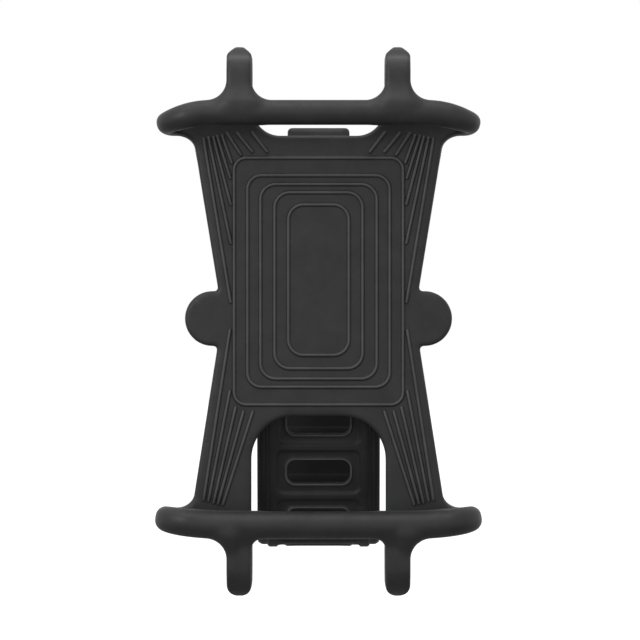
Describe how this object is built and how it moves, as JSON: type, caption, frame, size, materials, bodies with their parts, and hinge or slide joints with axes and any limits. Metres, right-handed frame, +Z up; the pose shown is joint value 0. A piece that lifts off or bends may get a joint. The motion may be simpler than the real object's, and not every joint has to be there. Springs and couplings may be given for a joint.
{
  "type": "phone handlebar mount",
  "caption": "Silicone phone cradle for a handlebar: ribbed hourglass pad, looped bands with pull prongs over the phone's ends, saddle and hooked window strap behind.",
  "frame": {"origin": "centre of the round handlebar seat, halfway along it", "axes": "+X along the handlebar, -Y towards the rider and the phone, +Z up towards the upper band"},
  "size_m": [0.0824, 0.0607, 0.1388],
  "materials": {
    "silicone_matte": "matte moulded silicone with a faint dust bloom",
    "silicone_strap": "matte moulded silicone, slightly darker and grainier",
    "nylon_black": "fine spark-textured nylon",
    "steel": "satin"
  },
  "bodies": {
    "cradle": {"cradle_pad": "silicone_matte", "core_plate": "steel", "rear_bracket": "nylon_black", "saddle_pad": "silicone_strap", "bracket_screws": "steel", "anchor_pin": "steel", "strap_hook": "nylon_black"},
    "upper_band": {"upper_crossbar": "silicone_matte", "upper_left_prong": "silicone_matte", "upper_right_prong": "silicone_matte", "upper_left_corner_fold": "silicone_matte", "upper_right_corner_fold": "silicone_matte"},
    "lower_band": {"lower_crossbar": "silicone_matte", "lower_left_prong": "silicone_matte", "lower_right_prong": "silicone_matte", "lower_left_corner_fold": "silicone_matte", "lower_right_corner_fold": "silicone_matte"},
    "strap_root": {"strap_root": "silicone_strap"},
    "strap_bend_front": {"strap_bend_front": "silicone_strap"},
    "strap_bend_bottom": {"strap_bend_bottom": "silicone_strap"},
    "strap_bend_rear": {"strap_bend_rear": "silicone_strap"},
    "strap_rear_lower": {"strap_rear_lower": "silicone_strap"},
    "strap_rear_upper": {"strap_rear_upper": "silicone_strap"},
    "strap_wrap": {"strap_wrap": "silicone_strap"},
    "strap_end": {"strap_end": "silicone_strap"}
  },
  "joints": [
    {"name": "upper_band_peel", "type": "hinge", "parent": "cradle", "child": "upper_band", "pos_m": [0, -0.0236, 0.0455], "axis": [-1, 0, 0], "range_deg": [0, 75], "stiffness_Nm_per_rad": 0.08, "springref_deg": -8.59},
    {"name": "lower_band_peel", "type": "hinge", "parent": "cradle", "child": "lower_band", "pos_m": [0, -0.0236, -0.0463], "axis": [1, 0, 0], "range_deg": [0, 75], "stiffness_Nm_per_rad": 0.08, "springref_deg": -8.59},
    {"name": "strap_root_swing", "type": "hinge", "parent": "cradle", "child": "strap_root", "pos_m": [0, -0.0167, -0.0185], "axis": [-1, 0, 0], "range_deg": [-6.01, 0], "stiffness_Nm_per_rad": 0.13, "springref_deg": -1.19},
    {"name": "strap_flex_front", "type": "hinge", "parent": "strap_root", "child": "strap_bend_front", "pos_m": [0, -0.01289, -0.0452], "axis": [-1, 0, 0], "range_deg": [0, 20.01], "stiffness_Nm_per_rad": 0.16, "springref_deg": -0.99},
    {"name": "strap_open", "type": "hinge", "parent": "strap_bend_front", "child": "strap_bend_bottom", "pos_m": [0, -0.00759, -0.05621], "axis": [-1, 0, 0], "range_deg": [0, 28], "stiffness_Nm_per_rad": 0.19, "springref_deg": -0.6},
    {"name": "strap_flex_bend", "type": "hinge", "parent": "strap_bend_bottom", "child": "strap_bend_rear", "pos_m": [0, 0.00412, -0.05419], "axis": [-1, 0, 0], "range_deg": [0, 28.01], "stiffness_Nm_per_rad": 0.18, "springref_deg": -0.1},
    {"name": "strap_flex_low", "type": "hinge", "parent": "strap_bend_rear", "child": "strap_rear_lower", "pos_m": [0, 0.00824, -0.04215], "axis": [-1, 0, 0], "range_deg": [0, 22.01], "stiffness_Nm_per_rad": 0.14, "springref_deg": 0.07},
    {"name": "strap_flex_mid", "type": "hinge", "parent": "strap_rear_lower", "child": "strap_rear_upper", "pos_m": [0, 0.01452, -0.01722], "axis": [-1, 0, 0], "range_deg": [0, 20.01], "stiffness_Nm_per_rad": 0.077, "springref_deg": 0.51},
    {"name": "strap_flex_high", "type": "hinge", "parent": "strap_rear_upper", "child": "strap_wrap", "pos_m": [0, 0.01929, 0.00787], "axis": [-1, 0, 0], "range_deg": [0, 22.01], "stiffness_Nm_per_rad": 0.045, "springref_deg": 1.24},
    {"name": "strap_flex_end", "type": "hinge", "parent": "strap_wrap", "child": "strap_end", "pos_m": [0, 0.00204, 0.02439], "axis": [-1, 0, 0], "range_deg": [0, 18.01], "stiffness_Nm_per_rad": 0.017, "springref_deg": 1.2}
  ],
  "couplings": [
    {"joint": "strap_root_swing", "follows": "strap_open", "ratio": -0.21429},
    {"joint": "strap_flex_front", "follows": "strap_open", "ratio": 0.71429},
    {"joint": "strap_flex_bend", "follows": "strap_open", "ratio": 1},
    {"joint": "strap_flex_low", "follows": "strap_open", "ratio": 0.78571},
    {"joint": "strap_flex_mid", "follows": "strap_open", "ratio": 0.71429},
    {"joint": "strap_flex_high", "follows": "strap_open", "ratio": 0.78571},
    {"joint": "strap_flex_end", "follows": "strap_open", "ratio": 0.64286}
  ]
}
